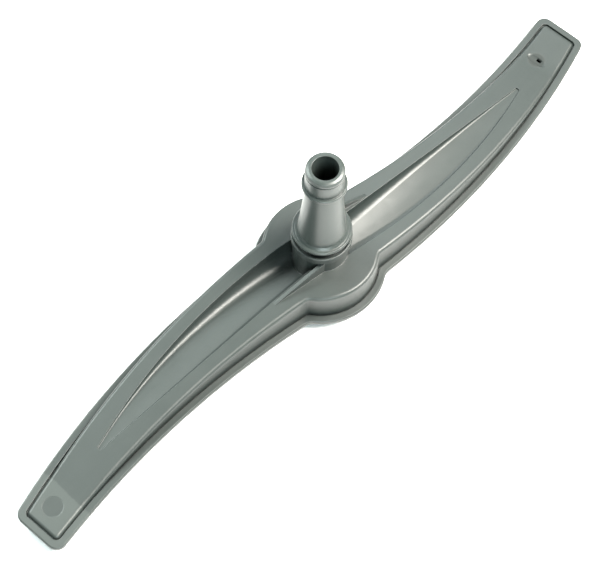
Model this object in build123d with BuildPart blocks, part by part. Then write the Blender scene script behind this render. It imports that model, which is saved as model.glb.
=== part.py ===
# Dishwasher spray arm: moulded cover, jet shell and swivelling feed tube
import math
import os

from build123d import *

os.makedirs("parts", exist_ok=True)

# Plan of the arm, seen from the feed tube side
arm_length = 460.0
tip_half_width = 16.5
tip_skew = 1.2
tip_corner_r = 6.0
cover_corner_r = 2.5
root_half_width = 30.0
convex_mid_y = -35.5
concave_mid_y = 11.0
hub_flange_r = 39.5
hub_corner_r = 8.0
cover_hub_corner_r = 4.0

# Walls and the welded rim
wall = 2.0
floor_thickness = 2.0
rim_band = 4.2
rim_thickness = 3.0
rim_edge = 0.6
weld_groove = 0.9
ledge_depth = 2.0

# Heights of the shell and the cover
jet_boss_height = 1.5
pan_depth = 9.5
hub_height = 20.0
tip_height = 0.8
tip_pad_length = 30.0
ramp_start_x = 17.0
ramp_blend_r = 120.0
cover_edge_r = 2.0
pan_edge = 2.2

# Leaf shaped trough in each arm of the cover
leaf_setback = 28.0
leaf_tip_y = -9.5
leaf_tip_width = 2.4
lip_bow_x = 80.0
lip_bow_y = -22.6
lip_root_y = 7.0
trough_step = 0.75
trough_root_deep = 17.0
trough_root_shallow = 10.5
trough_fade = 1.6
trough_sag = 0.12
trough_cove = 0.8
trough_cove_room = 0.44
trough_sections = 5

# Gusset rib beside the straight lip of each trough
rib_thickness = 2.0
rib_root_y = 13.7
rib_start_x = 8.0
rib_rise = 11.0
rib_root_depth = 6.0
rib_end_x = 46.0
rib_end_y = 4.4
rib_end_depth = 2.0

# Spindle of the feed tube and the neck of the cover that turns on it
spindle_r = 12.5
running_gap = 0.3
neck_wall = 3.7
neck_root_step = 0.8
neck_foot_height = 1.5
neck_height = 36.5
neck_head_step = 1.3
neck_head_height = 4.6
cup_lip = 1.2
cup_lip_edge = 0.4
cup_depth = 3.0

# Feed tube above the neck
tube_wall = 2.7
shoulder_seat = 1.4
collar_gap = 4.5
collar_r = 17.3
collar_thickness = 2.2
cone_foot_r = 14.1
cone_top_r = 9.9
cone_length = 49.1
flare = 1.4
bead_stand = 2.8
bead_thickness = 2.7
nose_r = 11.0
nose_length = 14.8
nose_edge = 2.0
tube_edge = 0.5
nose_groove_rise = 10.6
nose_groove_width = 1.0
nose_groove_depth = 0.4
inlet_r = 7.5
inlet_length = 16.0

# Snap fingers under the neck
barb_catch = 1.4
barb_height = 2.6
barb_land = 0.8
finger_slit = 3.0
finger_length = 14.0

# Jets in the shell, counted out from the hub, and the one drive jet in the cover
jets_per_arm = 5
jet_first_shares = (0.30, 0.22)
jet_share_step = 0.155
jet_slot_length = 7.0
jet_slot_width = 2.2
jet_boss_length = 15.0
jet_boss_width = 9.0
jet_boss_draft = 25.0
drive_inset = 30.6
drive_y = -4.7
drive_slot_length = 3.4
drive_slot_width = 1.9
drive_scoop_shift = (-1.4, 1.2)
drive_scoop_length = 12.0
drive_scoop_width = 5.6
drive_scoop_depth = 1.1

# Stations along the arm, and how far the cover lies inside the rim
tip_x = arm_length / 2
mid_x = tip_x / 2
ramp_end_x = tip_x - tip_pad_length
leaf_tip_x = ramp_end_x - leaf_setback
drive_x = tip_x - drive_inset
cover_inset = rim_band + weld_groove
ramp_slope = (hub_height - tip_height) / (ramp_end_x - ramp_start_x)

# Levels, counted up from the jet tips on which the arm rests
pan_bottom_z = jet_boss_height
pan_floor_z = pan_bottom_z + floor_thickness
rim_z = pan_bottom_z + pan_depth
ledge_z = rim_z - ledge_depth
hub_top_z = rim_z + hub_height
neck_foot_z = rim_z + neck_foot_height
neck_top_z = rim_z + neck_height
shoulder_z = neck_top_z - cup_depth
collar_z = neck_top_z + collar_gap
collar_top_z = collar_z + collar_thickness
bead_z = collar_top_z + cone_length
bead_top_z = bead_z + bead_thickness
groove_low_z = bead_top_z + nose_groove_rise
groove_high_z = groove_low_z + nose_groove_width
nose_top_z = bead_top_z + nose_length
barb_top_z = neck_foot_z - running_gap
tube_foot_z = barb_top_z - barb_height

# Radii that fit one another
neck_bore_r = spindle_r + running_gap
neck_r = neck_bore_r + neck_wall
neck_root_r = neck_r + neck_root_step
neck_head_r = neck_r + neck_head_step
cup_r = neck_head_r - cup_lip
shoulder_r = neck_bore_r + shoulder_seat
barb_r = neck_bore_r + barb_catch
outlet_r = spindle_r - tube_wall
bead_r = cone_top_r + bead_stand
nose_edge_mid = nose_edge * (1 - math.cos(math.pi / 4))

# The scoop before the drive jet is bowed along its length and round across
scoop_bow_r = (drive_scoop_length**2 / 4 + drive_scoop_depth**2) / (2 * drive_scoop_depth)
scoop_round_r = (drive_scoop_width**2 / 4 + drive_scoop_depth**2) / (2 * drive_scoop_depth)
scoop_z = rim_z + tip_height - drive_scoop_depth + scoop_bow_r
scoop_spot = (drive_x + drive_scoop_shift[0], drive_y + drive_scoop_shift[1], scoop_z)

# The bowed lip is an arc through the leaf tip, the straight lip a line to it
lip_bow_rise = leaf_tip_y - leaf_tip_width / 2 - lip_bow_y
lip_bow_r = ((leaf_tip_x - lip_bow_x) ** 2 + lip_bow_rise**2) / (2 * lip_bow_rise)
lip_slope = (lip_root_y - leaf_tip_y - leaf_tip_width / 2) / leaf_tip_x
rib_slope = (rib_root_y - rib_end_y) / rib_end_x


# Height of the panel over the rim at a station along the arm
def panel_height(x):
    return min(hub_height, max(tip_height, hub_height - ramp_slope * (x - ramp_start_x)))


# Trough depth under the panel, fading towards the leaf tip
def trough_depth(x, root_depth):
    return trough_step + root_depth * (1 - x / leaf_tip_x) ** trough_fade


# Corners of one trough section, grown outwards by a wall where asked
def trough_corners(x, grow):
    low_y = lip_bow_y + lip_bow_r - math.sqrt(lip_bow_r**2 - (x - lip_bow_x) ** 2) - grow
    high_y = lip_root_y - lip_slope * x + grow
    panel_z = rim_z + panel_height(x)
    low_z = panel_z - trough_depth(x, trough_root_deep) - grow
    high_z = panel_z - trough_depth(x, trough_root_shallow) - grow
    return [(low_y, neck_top_z), (low_y, low_z), (high_y, high_z), (high_y, neck_top_z)]


# Radius of the coves at the feet of the trough walls, limited by the width between them
def trough_cove_r(x):
    corners = trough_corners(x, 0)
    width = corners[-1][0] - corners[0][0]
    return min(trough_cove * trough_depth(x, trough_root_shallow), trough_cove_room * width)


# One trough section: two upright walls and a hollow floor between their feet
def trough_outline(x, grow):
    lip_low, foot_low, foot_high, lip_high = [Vector(*corner) for corner in trough_corners(x, grow)]
    sag = trough_sag * trough_depth(x, trough_root_shallow)
    Line(lip_low, foot_low)
    ThreePointArc(foot_low, (foot_low + foot_high) * 0.5 - Vector(0, sag), foot_high)
    Polyline(foot_high, lip_high, lip_low)


# Side profile of the panel: flat hub, ramp, flat tip; dropped by one wall for the inside
def panel_points(bottom_z, drop):
    half = [
        (tip_x, bottom_z),
        (tip_x, rim_z + tip_height - drop),
        (ramp_end_x, rim_z + tip_height - drop),
        (ramp_start_x, hub_top_z - drop),
    ]
    return half + [(-x, z) for x, z in reversed(half)]


# Edges of one arm: bowed side, tip end, hollow side
with BuildLine() as arm_edges:
    bowed = ThreePointArc((0, -root_half_width), (mid_x, convex_mid_y), (tip_x, -tip_half_width))
    tip_end = Line(bowed @ 1, (tip_x - tip_skew, tip_half_width))
    hollow = ThreePointArc(tip_end @ 1, (mid_x, concave_mid_y), (0, root_half_width))
    Line(hollow @ 1, bowed @ 0)


# Plan of both arms and the hub, set in from the edge where asked
def arm_plan(inset, tip_r, hub_r):
    with BuildSketch() as plan:
        make_face(arm_edges.edges())
        if inset:
            offset(amount=-inset)
        fillet(plan.vertices().sort_by(Axis.X)[-2:], tip_r)
        add(plan.sketch.rotate(Axis.Z, 180))
        Circle(hub_flange_r - inset)
        on_flange = [v for v in plan.vertices() if abs(v.center().length - hub_flange_r + inset) < 0.01]
        fillet(on_flange, hub_r)
    return plan.sketch


# Plans of the shell rim, its ledge, the cover and the water channel
rim_plan = arm_plan(0, tip_corner_r, hub_corner_r)
pan_plan = arm_plan(rim_band, cover_corner_r + weld_groove, cover_hub_corner_r)
cover_plan = arm_plan(cover_inset, cover_corner_r, cover_hub_corner_r)
channel_plan = arm_plan(cover_inset + wall, cover_corner_r, cover_hub_corner_r)

# Leaf trough as a tool, and the same grown by one wall for the inside
stations = [leaf_tip_x * step / (trough_sections - 1) for step in range(trough_sections)]

with BuildPart() as trough:
    for x in stations:
        with BuildSketch(Plane.YZ.offset(x)) as section:
            with BuildLine():
                trough_outline(x, 0)
            make_face()
            foot_corners = section.vertices().sort_by(Axis.Y)[:2]
            fillet(foot_corners, trough_cove_r(x))
    loft()

with BuildPart() as trough_wall:
    for x in stations:
        with BuildSketch(Plane.YZ.offset(x * (1 + wall / leaf_tip_x))):
            with BuildLine():
                trough_outline(x, wall)
            make_face()
    loft()

# Water channel inside the cover, open under the neck for the snap fingers
with BuildPart() as channel:
    with BuildSketch(Plane.XY.offset(ledge_z - wall)):
        add(channel_plan)
    extrude(amount=hub_top_z - ledge_z + wall)
    with BuildSketch(Plane.XZ):
        with BuildLine():
            Polyline(*panel_points(ledge_z - wall, wall), close=True)
        make_face()
    extrude(amount=tip_x, both=True, mode=Mode.INTERSECT)
    add(trough_wall.part, mode=Mode.SUBTRACT)
    add(trough_wall.part.rotate(Axis.Z, 180), mode=Mode.SUBTRACT)
    with BuildSketch(Plane.XY.offset(neck_foot_z)):
        Circle(neck_root_r)
    extrude(amount=hub_height, mode=Mode.SUBTRACT)
    with BuildSketch(Plane.XY.offset(neck_foot_z)):
        Circle(neck_r)
    extrude(amount=ledge_z - wall - neck_foot_z)

# Gusset rib, running down from the neck to the straight lip and fading into the ramp
rib_plane = Plane((0, rib_root_y, rim_z), x_dir=(1, -rib_slope, 0), z_dir=(-rib_slope, -1, 0))

with BuildPart() as rib:
    with BuildSketch(rib_plane):
        with BuildLine():
            Polyline(
                (rib_start_x, hub_height - rib_root_depth),
                (rib_start_x, hub_height + rib_rise),
                (rib_end_x, panel_height(rib_end_x)),
                (rib_end_x, panel_height(rib_end_x) - rib_end_depth),
                close=True,
            )
        make_face()
    extrude(amount=rib_thickness / 2, both=True)

# Moulded cover with neck, troughs, gusset ribs and drive jet
with BuildPart() as cover:
    with BuildSketch(Plane.XY.offset(ledge_z)):
        add(cover_plan)
    extrude(amount=hub_top_z - ledge_z)
    with BuildSketch(Plane.XZ) as panel_side:
        with BuildLine():
            Polyline(*panel_points(ledge_z, 0), close=True)
        make_face()
        kinks = [v for v in panel_side.vertices() if abs(v.X) < tip_x - tip_pad_length / 2]
        fillet(kinks, ramp_blend_r)
    extrude(amount=tip_x, both=True, mode=Mode.INTERSECT)
    tops = [f for f in cover.faces() if f.normal_at().Z > 0.9]
    rims = [e for e in cover.edges() if sum(e in f.edges() for f in tops) == 1]
    fillet(rims, cover_edge_r)
    add(trough.part, mode=Mode.SUBTRACT)
    add(trough.part.rotate(Axis.Z, 180), mode=Mode.SUBTRACT)
    with BuildSketch(Plane.XY.offset(neck_foot_z)):
        Circle(neck_r)
    extrude(amount=neck_top_z - neck_foot_z)
    with BuildSketch(Plane.XY.offset(neck_top_z - neck_head_height)):
        Circle(neck_head_r)
    extrude(amount=neck_head_height)
    add(rib.part)
    add(rib.part.rotate(Axis.Z, 180))
    add(channel.part, mode=Mode.SUBTRACT)
    with BuildSketch(Plane.XY.offset(ledge_z)):
        Circle(neck_bore_r)
    extrude(amount=neck_top_z - ledge_z, mode=Mode.SUBTRACT)
    with BuildSketch(Plane.XY.offset(shoulder_z)):
        Circle(cup_r)
    extrude(amount=cup_depth, mode=Mode.SUBTRACT)
    lip_rims = cover.faces().sort_by(Axis.Z)[-1].edges()
    chamfer(lip_rims.sort_by(SortBy.RADIUS)[-1], cup_lip_edge)
    with Locations(scoop_spot):
        Torus(scoop_bow_r - scoop_round_r, scoop_round_r, rotation=(0, 90, 0), mode=Mode.SUBTRACT)
    with BuildSketch(Plane.XY.offset(ledge_z)):
        with Locations((drive_x, drive_y)):
            Rectangle(drive_slot_width, drive_slot_length)
    extrude(amount=hub_height, mode=Mode.SUBTRACT)

# Jets follow the middle line of the arm, staggered between the two arms
jet_spots = []
for turn, first_share in zip((0, 180), jet_first_shares):
    for count in range(jets_per_arm):
        share = first_share + jet_share_step * count
        spot = ((bowed @ share + hollow @ (1 - share)) * 0.5).rotate(Axis.Z, turn)
        lean = math.degrees(math.atan2((bowed % share).Y, (bowed % share).X))
        jet_spots.append(Location((spot.X, spot.Y, 0), (0, 0, lean)))

# Jet shell: rim, ledge for the cover, pan and jets
with BuildPart() as jet_shell:
    with BuildSketch(Plane.XY.offset(rim_z - rim_thickness)):
        add(rim_plan)
    extrude(amount=rim_thickness)
    chamfer(jet_shell.faces().sort_by(Axis.Z)[-1].edges(), rim_edge)
    with BuildSketch(Plane.XY.offset(pan_bottom_z)):
        add(pan_plan)
    extrude(amount=pan_depth - rim_thickness)
    chamfer(jet_shell.faces().sort_by(Axis.Z)[0].edges(), pan_edge)
    with BuildSketch(Plane.XY.offset(ledge_z)):
        add(pan_plan)
    extrude(amount=ledge_depth, mode=Mode.SUBTRACT)
    with BuildSketch(Plane.XY.offset(pan_floor_z)):
        add(channel_plan)
    extrude(amount=rim_z - pan_floor_z, mode=Mode.SUBTRACT)
    with BuildSketch(Plane.XY.offset(pan_bottom_z)):
        with Locations(*jet_spots):
            SlotOverall(jet_boss_length, jet_boss_width)
    extrude(amount=-jet_boss_height, taper=jet_boss_draft)
    with BuildSketch(Plane.XY):
        with Locations(*jet_spots):
            Rectangle(jet_slot_length, jet_slot_width)
    extrude(amount=pan_floor_z, mode=Mode.SUBTRACT)

# Feed tube turned about the arm axis, with snap fingers cut into its foot
with BuildPart() as feed_tube:
    with BuildSketch(Plane.XZ) as tube_side:
        with BuildLine():
            Polyline(
                (outlet_r, tube_foot_z),
                (spindle_r - barb_land, tube_foot_z),
                (barb_r, barb_top_z - barb_land),
                (barb_r, barb_top_z),
                (spindle_r, barb_top_z),
                (spindle_r, shoulder_z),
                (shoulder_r, shoulder_z),
                (shoulder_r, collar_z),
                (collar_r, collar_z),
                (collar_r, collar_top_z),
                (cone_foot_r, collar_top_z),
                (cone_top_r, bead_z),
                (bead_r, bead_z),
                (bead_r, bead_top_z),
                (nose_r, bead_top_z),
                (nose_r, groove_low_z),
                (nose_r - nose_groove_depth, groove_low_z),
                (nose_r - nose_groove_depth, groove_high_z),
                (nose_r, groove_high_z),
                (nose_r, nose_top_z - nose_edge),
                (nose_r - nose_edge_mid, nose_top_z - nose_edge_mid),
                (nose_r - nose_edge, nose_top_z),
                (inlet_r, nose_top_z),
                (inlet_r, nose_top_z - inlet_length),
                (outlet_r, collar_z),
                close=True,
            )
        make_face()
        chamfer(tube_side.vertices().sort_by_distance((cone_foot_r, collar_top_z))[:1], flare)
        for ring_r, low_z, high_z in ((bead_r, bead_z, bead_top_z), (collar_r, collar_z, collar_top_z)):
            chamfer(tube_side.vertices().sort_by_distance((ring_r, low_z))[:1], tube_edge)
            chamfer(tube_side.vertices().sort_by_distance((ring_r, high_z))[:1], tube_edge)
    revolve(axis=Axis.Z)
    with BuildSketch(Plane.XY.offset(tube_foot_z)):
        Rectangle(2 * barb_r, finger_slit)
        Rectangle(finger_slit, 2 * barb_r)
    extrude(amount=finger_length, mode=Mode.SUBTRACT)

cover.part.label = "cover"
jet_shell.part.label = "jet_shell"
feed_tube.part.label = "feed_tube"
export_step(cover.part, "parts/cover.step")
export_step(jet_shell.part, "parts/jet_shell.step")
export_step(feed_tube.part, "parts/feed_tube.step")
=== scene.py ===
"""Looks of a dishwasher spray arm: slate grey moulded plastic on a white studio table."""

import logging
import math
from dataclasses import dataclass
from enum import Enum
from typing import Any, Optional, Sequence, Union

import bpy
from mathutils import Matrix, Vector

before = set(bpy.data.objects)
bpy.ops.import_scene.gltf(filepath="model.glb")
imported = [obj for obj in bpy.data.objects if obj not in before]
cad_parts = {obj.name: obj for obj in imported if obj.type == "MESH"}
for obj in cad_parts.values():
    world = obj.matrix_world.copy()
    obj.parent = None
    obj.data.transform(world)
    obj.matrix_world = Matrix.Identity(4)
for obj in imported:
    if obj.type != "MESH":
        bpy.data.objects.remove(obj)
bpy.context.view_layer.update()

LOG = logging.getLogger("spray_arm")
MM = 0.001
NOISE_MIDDLE = 0.5

# Sockets of a Mix node that mixes colours; their names occur more than once
MIX_SHARE, MIX_FIRST, MIX_SECOND, MIX_RESULT = 0, 6, 7, 2

Number = Union[int, float]
Operand = Union["Signal", int, float]
Pair = tuple[float, float]
Triple = tuple[float, float, float]
Colour = tuple[float, float, float]
Output = Union[int, str]
Settings = dict[str, Any]
Sockets = dict[Union[int, str], Any]


class Piece(Enum):
    """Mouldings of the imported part, by the names of their nodes."""

    COVER = "cover"
    SHELL = "jet_shell"
    TUBE = "feed_tube"


@dataclass(frozen=True)
class Noise:
    """Fineness of one noise: cycles for each unit, number of finer layers and their strength."""

    scale: float
    detail: float = 2.0
    roughness: float = 0.5


class Signal:
    """A number, vector or colour that leaves a socket; numbers can be used in arithmetic."""

    def __init__(self, shader: "Shader", socket: bpy.types.NodeSocket) -> None:
        """Wraps one output socket.

        Args:
            shader: The shader whose tree holds the socket.
            socket: The output socket that carries the value.
        """
        self.shader = shader
        self.socket = socket

    def _math(self, operation: str, first: Operand, second: Operand) -> "Signal":
        """Adds one Math node.

        Args:
            operation: The Math node's operation.
            first: The first operand.
            second: The second operand.

        Returns:
            The signal of the result.
        """
        return self.shader.node("ShaderNodeMath", {"operation": operation}, {0: first, 1: second})

    def __add__(self, other: Operand) -> "Signal":
        """Sum of two values."""
        return self._math("ADD", self, other)

    def __radd__(self, other: Number) -> "Signal":
        """Sum with a plain number on the left."""
        return self._math("ADD", other, self)

    def __sub__(self, other: Operand) -> "Signal":
        """Difference of two values."""
        return self._math("SUBTRACT", self, other)

    def __rsub__(self, other: Number) -> "Signal":
        """Difference from a plain number on the left."""
        return self._math("SUBTRACT", other, self)

    def __mul__(self, other: Operand) -> "Signal":
        """Product of two values."""
        return self._math("MULTIPLY", self, other)

    def __rmul__(self, other: Number) -> "Signal":
        """Product with a plain number on the left."""
        return self._math("MULTIPLY", other, self)

    def swing(self, size: Number) -> "Signal":
        """Turns a noise into a swing of the given size about zero."""
        return (self - NOISE_MIDDLE) * size

    def step(self, low: Number, high: Number) -> "Signal":
        """Smooth step between two levels.

        Args:
            low: Level where the result is 0.
            high: Level where the result is 1; it may be under low.

        Returns:
            A signal between 0 and 1.
        """
        settings = {"interpolation_type": "SMOOTHSTEP"}
        sockets = {"Value": self, "From Min": low, "From Max": high}
        return self.shader.node("ShaderNodeMapRange", settings, sockets)


class Shader:
    """A material's node tree, grown node by node."""

    def __init__(self, name: str) -> None:
        """Makes an empty material.

        Args:
            name: The material's name.
        """
        self.material = bpy.data.materials.new(name)
        self.material.use_nodes = True
        self.tree = self.material.node_tree
        self.tree.nodes.clear()

    def add(
        self, kind: str, settings: Optional[Settings] = None, sockets: Optional[Sockets] = None
    ) -> bpy.types.Node:
        """Adds one node.

        Args:
            kind: The node's type.
            settings: The node's own settings, set first.
            sockets: Values or signals of its inputs, by name or number.

        Returns:
            The node.
        """
        node = self.tree.nodes.new(kind)
        for key, value in (settings or {}).items():
            setattr(node, key, value)
        for key, value in (sockets or {}).items():
            if isinstance(value, Signal):
                self.tree.links.new(value.socket, node.inputs[key])
            else:
                node.inputs[key].default_value = value
        return node

    def node(
        self,
        kind: str,
        settings: Optional[Settings] = None,
        sockets: Optional[Sockets] = None,
        out: Output = 0,
    ) -> Signal:
        """Adds one node and reads one of its outputs.

        Args:
            kind: The node's type.
            settings: The node's own settings, set first.
            sockets: Values or signals of its inputs, by name or number.
            out: The output to return, by name or number.

        Returns:
            The signal of that output.
        """
        return Signal(self, self.add(kind, settings, sockets).outputs[out])

    def vector(self, operation: str, sockets: Sockets, out: Output = 0) -> Signal:
        """Adds one Vector Math node.

        Args:
            operation: The node's operation.
            sockets: Values or signals of its inputs.
            out: The output to return, by name or number.

        Returns:
            The signal of that output.
        """
        return self.node("ShaderNodeVectorMath", {"operation": operation}, sockets, out)

    def place(self) -> Signal:
        """Place on the part in its own frame, in millimetres."""
        spot = self.node("ShaderNodeTexCoord", out="Object")
        return self.vector("SCALE", {0: spot, "Scale": 1 / MM})

    def reach(self, place: Signal, spot: Triple) -> Signal:
        """Distance from a spot.

        Args:
            place: Where to measure.
            spot: The spot, in the units of the place.

        Returns:
            The distance.
        """
        return self.vector("DISTANCE", {0: place, 1: spot}, "Value")

    def noise(self, place: Signal, kind: Noise) -> Signal:
        """Smooth noise between 0 and 1.

        Args:
            place: Where to read it.
            kind: Its fineness.

        Returns:
            The noise signal.
        """
        sockets = {
            "Vector": place,
            "Scale": kind.scale,
            "Detail": kind.detail,
            "Roughness": kind.roughness,
        }
        return self.node("ShaderNodeTexNoise", None, sockets)

    def tint(self, share: Signal, first: Union[Signal, Colour], second: Union[Signal, Colour]) -> Signal:
        """Mixes two colours.

        Args:
            share: Share of the second colour.
            first: First colour, a signal or three numbers.
            second: Second colour, a signal or three numbers.

        Returns:
            The mixed colour.
        """
        first, second = (c if isinstance(c, Signal) else (*c, 1.0) for c in (first, second))
        settings = {"data_type": "RGBA", "clamp_factor": True}
        sockets = {MIX_SHARE: share, MIX_FIRST: first, MIX_SECOND: second}
        return self.node("ShaderNodeMix", settings, sockets, MIX_RESULT)

    def bump(self, height: Signal, rise: float, strength: float, below: Signal) -> Signal:
        """Turns a height into a normal.

        Args:
            height: Height between 0 and 1.
            rise: Height of 1, in metres.
            strength: Strength of the relief.
            below: The normal to lay the relief on.

        Returns:
            The normal.
        """
        sockets = {"Height": height, "Distance": rise, "Strength": strength, "Normal": below}
        return self.node("ShaderNodeBump", None, sockets)

    def surface(self, sockets: Sockets) -> bpy.types.Material:
        """Closes the tree with a principled surface.

        Args:
            sockets: Values or signals of the surface's inputs.

        Returns:
            The finished material.
        """
        shade = self.node("ShaderNodeBsdfPrincipled", None, sockets)
        self.add("ShaderNodeOutputMaterial", None, {"Surface": shade})
        return self.material


@dataclass(frozen=True)
class MouldedPlastic:
    """Slate grey plastic as it leaves the mould: flow clouds, fine grain and paler edges, partly rubbed
    and partly a painted highlight.

    Noises are read in millimetres; radii, reaches and rises are in metres.
    """

    name: str
    colour: Colour
    pale: Colour
    rubbed_and_lit: Colour
    roughness: float
    ior: float = 1.5
    edge_r: float = 0.55 * MM
    crease_reach: float = 3.0 * MM
    samples: int = 6
    cloud: Noise = Noise(0.03, 3.0, 0.6)
    cloud_levels: Pair = (0.3, 0.75)
    cloud_share: float = 0.35
    flow: Noise = Noise(1.0, 3.0, 0.6)
    flow_stretch: Triple = (0.02, 0.3, 0.3)
    flow_levels: Pair = (0.45, 0.7)
    flow_share: float = 0.25
    sink: Noise = Noise(0.06, 1.0)
    sink_rise: float = 0.10 * MM
    sink_strength: float = 0.5
    grain: Noise = Noise(2.6)
    grain_rise: float = 0.003 * MM
    grain_strength: float = 0.35
    wear: Noise = Noise(0.05, 4.0, 0.65)
    wear_swing: float = 0.14
    scuff: Noise = Noise(0.9, 4.0, 0.7)
    scuff_levels: Pair = (0.3, 0.6)
    scuff_swing: float = 0.06
    turned_levels: Pair = (0.985, 0.86)
    clear_levels: Pair = (0.62, 0.8)
    rubbed_and_lit_share: float = 0.7

    def tone(self, shader: Shader, place: Signal) -> Signal:
        """Colour of the plastic before its edges get the paler tone of rubbed wear and painted
        highlight.

        Args:
            shader: The shader to add nodes to.
            place: Place on the part in millimetres.

        Returns:
            The colour.
        """
        cloud = shader.noise(place, self.cloud).step(*self.cloud_levels)
        along = shader.vector("MULTIPLY", {0: place, 1: self.flow_stretch})
        flow = shader.noise(along, self.flow).step(*self.flow_levels)
        share = cloud * self.cloud_share + flow * self.flow_share
        return shader.tint(share, self.colour, self.pale)

    def relief(self, shader: Shader, place: Signal, below: Signal) -> Signal:
        """Lays sink marks and mould grain over a normal.

        Args:
            shader: The shader to add nodes to.
            place: Place on the part in millimetres.
            below: The normal to start from.

        Returns:
            The normal.
        """
        sunk = shader.bump(shader.noise(place, self.sink), self.sink_rise, self.sink_strength, below)
        return shader.bump(shader.noise(place, self.grain), self.grain_rise, self.grain_strength, sunk)

    def gloss(self, shader: Shader, place: Signal) -> Signal:
        """Roughness, duller in clouds where the plastic is worn.

        Args:
            shader: The shader to add nodes to.
            place: Place on the part in millimetres.

        Returns:
            The roughness.
        """
        return self.roughness + shader.noise(place, self.wear).swing(self.wear_swing)

    def make(self) -> bpy.types.Material:
        """Builds the material.

        Returns:
            The finished material.
        """
        shader = Shader(self.name)
        place = shader.place()
        quality = {"samples": self.samples}
        soft = shader.node("ShaderNodeBevel", quality, {"Radius": self.edge_r})
        flat = shader.node("ShaderNodeNewGeometry", out="Normal")
        turned = shader.vector("DOT_PRODUCT", {0: soft, 1: flat}, "Value")
        clear = shader.node("ShaderNodeAmbientOcclusion", quality, {"Distance": self.crease_reach}, "AO")
        scuff = shader.noise(place, self.scuff)
        # Paler convex edges: partly rubbed wear, partly a painted highlight where rounded edges catch
        # the light
        edge = turned.step(*self.turned_levels) * clear.step(*self.clear_levels)
        worn_and_lit = edge * scuff.step(*self.scuff_levels) * self.rubbed_and_lit_share
        return shader.surface(
            {
                "Base Color": shader.tint(worn_and_lit, self.tone(shader, place), self.rubbed_and_lit),
                "Roughness": self.gloss(shader, place) + scuff.swing(self.scuff_swing),
                "Normal": self.relief(shader, place, soft),
                "IOR": self.ior,
            }
        )


@dataclass(frozen=True)
class ArmPlastic(MouldedPlastic):
    """The arm's plastic, with painted shade in the drive jet's scoop, and on the plain tip painted light
    and the ring of the ejector pin.

    Spots, radii and widths are in millimetres; the rise is in metres.
    """

    scoop_spot: Triple = (198.0, -3.5, 11.0)
    scoop_r: float = 6.4
    scoop_core: float = 0.7
    # Near-black tone of the painted shade in the drive jet's scoop
    painted_scoop_shade_tone: Colour = (0.012, 0.015, 0.014)
    painted_scoop_shade_share: float = 0.6
    painted_scoop_shade_dulling: float = 0.45
    pad_x: float = -201.5
    pad_blur: float = 0.6
    pad_edge: Noise = Noise(0.25)
    pad_edge_swing: float = 3.0
    # Strength of the painted light on the flat end pad
    pad_light_share: float = 0.4
    pin_spot: Triple = (-212.2, 4.7, 11.8)
    pin_r: float = 6.0
    pin_inside: float = 0.8
    pin_outside: float = 0.6
    pin_blur: float = 0.3
    pin_rise: float = 0.08 * MM
    pin_strength: float = 1.0

    def tone(self, shader: Shader, place: Signal) -> Signal:
        """Colour with painted shade in the drive jet's scoop and painted light that makes the end pad
        paler round the mark of the ejector pin.

        Args:
            shader: The shader to add nodes to.
            place: Place on the part in millimetres.

        Returns:
            The colour.
        """
        plain = super().tone(shader, place)
        along = shader.node("ShaderNodeSeparateXYZ", None, {0: place}, "X")
        ragged = along + shader.noise(place, self.pad_edge).swing(self.pad_edge_swing)
        pad = ragged.step(self.pad_x + self.pad_blur, self.pad_x - self.pad_blur)
        off_pin = shader.reach(place, self.pin_spot)
        off_pin = off_pin.step(self.pin_r - self.pin_inside, self.pin_r + self.pin_outside)
        # Painted light: the flat end pad is tinted paler, except on the ejector pin's disc
        pad_lit = shader.tint(pad * off_pin * self.pad_light_share, plain, self.rubbed_and_lit)
        # Painted shade: the drive jet's scoop is darkened toward a near-black tone
        shade_in_scoop = self.painted_scoop_shade(shader, place) * self.painted_scoop_shade_share
        return shader.tint(shade_in_scoop, pad_lit, self.painted_scoop_shade_tone)

    def painted_scoop_shade(self, shader: Shader, place: Signal) -> Signal:
        """Share of the painted shade in the scoop of the drive jet, which also dulls the roughness
        there.

        Args:
            shader: The shader to add nodes to.
            place: Place on the part in millimetres.

        Returns:
            A signal between 0 and 1.
        """
        return shader.reach(place, self.scoop_spot).step(self.scoop_r, self.scoop_r * self.scoop_core)

    def gloss(self, shader: Shader, place: Signal) -> Signal:
        """Roughness, duller in the drive jet's scoop where its shade is painted.

        Args:
            shader: The shader to add nodes to.
            place: Place on the part in millimetres.

        Returns:
            The roughness.
        """
        return super().gloss(shader, place) + self.painted_scoop_shade(shader, place) * self.painted_scoop_shade_dulling

    def relief(self, shader: Shader, place: Signal, below: Signal) -> Signal:
        """Adds the low ring of the ejector pin.

        Args:
            shader: The shader to add nodes to.
            place: Place on the part in millimetres.
            below: The normal to start from.

        Returns:
            The normal.
        """
        off_pin = shader.reach(place, self.pin_spot)
        disc = off_pin.step(self.pin_r - self.pin_blur, self.pin_r + self.pin_blur)
        ring = shader.bump(disc, self.pin_rise, self.pin_strength, below)
        return super().relief(shader, place, ring)


# Pale tone of rubbed edges; it is also the painted highlight on edges and the painted light on the arm's
# end pad
RUBBED_AND_LIT: Colour = (0.050, 0.058, 0.054)
ARM_SLATE = ArmPlastic(
    "arm_slate",
    colour=(0.0180, 0.0230, 0.0215),
    pale=(0.0220, 0.0275, 0.0255),
    rubbed_and_lit=RUBBED_AND_LIT,
    roughness=0.42,
)
TUBE_SLATE = MouldedPlastic(
    "tube_slate",
    colour=(0.0240, 0.0305, 0.0285),
    pale=(0.0290, 0.0360, 0.0335),
    rubbed_and_lit=RUBBED_AND_LIT,
    roughness=0.36,
)


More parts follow.
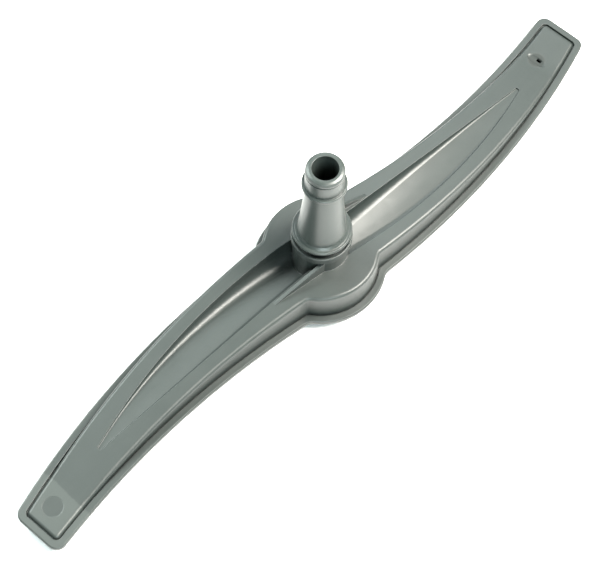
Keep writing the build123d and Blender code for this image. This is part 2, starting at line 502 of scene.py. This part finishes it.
def put_on(material: bpy.types.Material, pieces: Sequence[Piece]) -> None:
    """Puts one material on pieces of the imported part.

    Args:
        material: The material.
        pieces: The pieces that wear it.
    """
    for piece in pieces:
        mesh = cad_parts[piece.value].data
        mesh.materials.clear()
        mesh.materials.append(material)
        LOG.info("%s wears %s", piece.value, material.name)


@dataclass
class WeldedArm:
    """The two mouldings of the arm, welded round their rim."""

    finish: MouldedPlastic = ARM_SLATE
    pieces: tuple[Piece, ...] = (Piece.COVER, Piece.SHELL)

    def dress(self) -> None:
        """Gives both mouldings the arm's plastic."""
        put_on(self.finish.make(), self.pieces)


@dataclass
class FeedTube:
    """The tapered tube on which the arm spins."""

    finish: MouldedPlastic = TUBE_SLATE
    pieces: tuple[Piece, ...] = (Piece.TUBE,)

    def dress(self) -> None:
        """Gives the tube its plastic."""
        put_on(self.finish.make(), self.pieces)


@dataclass(frozen=True)
class SoftBox:
    """One square lamp that faces the foot of the spin axis.

    The bearing counts clockwise from the camera's right hand, seen from above.
    """

    name: str
    bearing: float
    height: float
    watts: float
    colour: Colour
    side: float = 0.6
    away: float = 1.2

    def hang(self, azimuth: float) -> None:
        """Hangs the lamp.

        Args:
            azimuth: Direction of the camera's right hand, in degrees.
        """
        light = bpy.data.lights.new(self.name, "AREA")
        light.shape = "SQUARE"
        light.size = self.side
        light.energy = self.watts
        light.color = self.colour
        lamp = bpy.data.objects.new(self.name, light)
        turn, rise = math.radians(azimuth - self.bearing), math.radians(self.height)
        back = Vector((math.cos(turn) * math.cos(rise), math.sin(turn) * math.cos(rise), math.sin(rise)))
        lamp.location = back * self.away
        lamp.rotation_mode = "QUATERNION"
        lamp.rotation_quaternion = (-back).to_track_quat("-Z", "Y")
        bpy.context.scene.collection.objects.link(lamp)


@dataclass
class Studio:
    """White table, soft lamps and camera."""

    lamps: tuple[SoftBox, ...] = (
        SoftBox("key", bearing=-1, height=57, watts=68, colour=(1.0, 0.97, 0.90)),
        SoftBox("left_fill", bearing=205, height=45, watts=23, colour=(0.90, 1.0, 0.96)),
        SoftBox("near_fill", bearing=80, height=36, watts=14, colour=(0.86, 1.0, 1.0)),
        SoftBox("far_fill", bearing=270, height=40, watts=9, colour=(0.92, 1.0, 1.0)),
    )
    room_colour: Colour = (0.85, 0.95, 1.0)
    room_strength: float = 0.10
    image_px: tuple[int, int] = (600, 568)
    focal_px: float = 1659.0
    sensor_mm: float = 36.0
    clip_end: float = 20.0
    azimuth: float = -49.04
    elevation: float = 63.835
    roll: float = 2.046
    axis_px: Pair = (319.94, 261.74)
    axis_depth: float = 0.9814
    rim_z: float = 0.011
    floor_side: float = 6.0
    floor_dim: Colour = (0.74, 0.74, 0.74)
    floor_bright: Colour = (0.76, 0.76, 0.76)
    floor_cloud: Noise = Noise(0.01)
    floor_roughness: float = 0.8

    def camera(self) -> None:
        """Places the camera so that the spin axis meets the rim at its spot in the picture."""
        tilt, lean = math.radians(self.elevation), math.radians(self.roll)
        turn = Matrix.Rotation(math.radians(self.azimuth), 3, "Z")
        ahead = turn @ Vector((0, math.cos(tilt), -math.sin(tilt)))
        level = turn @ Vector((1, 0, 0))
        above = level.cross(ahead)
        right = level * math.cos(lean) + above * math.sin(lean)
        up = right.cross(ahead)
        across = (self.axis_px[0] - self.image_px[0] / 2) / self.focal_px
        down = (self.axis_px[1] - self.image_px[1] / 2) / self.focal_px
        spot = Vector((0, 0, self.rim_z)) - self.axis_depth * (ahead + across * right - down * up)
        lens = bpy.data.cameras.new("camera")
        lens.sensor_width = self.sensor_mm
        lens.lens = self.focal_px * self.sensor_mm / self.image_px[0]
        lens.clip_end = self.clip_end
        camera = bpy.data.objects.new("camera", lens)
        axes = Matrix((right, up, -ahead)).transposed().to_4x4()
        camera.matrix_world = Matrix.Translation(spot) @ axes
        bpy.context.scene.collection.objects.link(camera)
        bpy.context.scene.camera = camera

    def floor(self) -> None:
        """Lays the white table under the part."""
        half = self.floor_side / 2
        mesh = bpy.data.meshes.new("floor")
        corners = [(-half, -half, 0), (half, -half, 0), (half, half, 0), (-half, half, 0)]
        mesh.from_pydata(corners, [], [(0, 1, 2, 3)])
        floor = bpy.data.objects.new("floor", mesh)
        bpy.context.scene.collection.objects.link(floor)
        shader = Shader("table_white")
        cloud = shader.noise(shader.place(), self.floor_cloud)
        colour = shader.tint(cloud, self.floor_dim, self.floor_bright)
        mesh.materials.append(shader.surface({"Base Color": colour, "Roughness": self.floor_roughness}))

    def room(self) -> None:
        """Fills the room with a little even light."""
        world = bpy.data.worlds.new("room")
        world.use_nodes = True
        back = world.node_tree.nodes["Background"]
        back.inputs["Color"].default_value = (*self.room_colour, 1.0)
        back.inputs["Strength"].default_value = self.room_strength
        bpy.context.scene.world = world

    def build(self) -> None:
        """Sets up the whole studio."""
        bpy.context.scene.view_settings.view_transform = "Standard"
        self.floor()
        self.room()
        for lamp in self.lamps:
            lamp.hang(self.azimuth)
        self.camera()


def main() -> None:
    """Dresses the part and builds the studio."""
    logging.basicConfig(level=logging.INFO, format="%(message)s")
    WeldedArm().dress()
    FeedTube().dress()
    Studio().build()


if __name__ == "__main__":
    main()
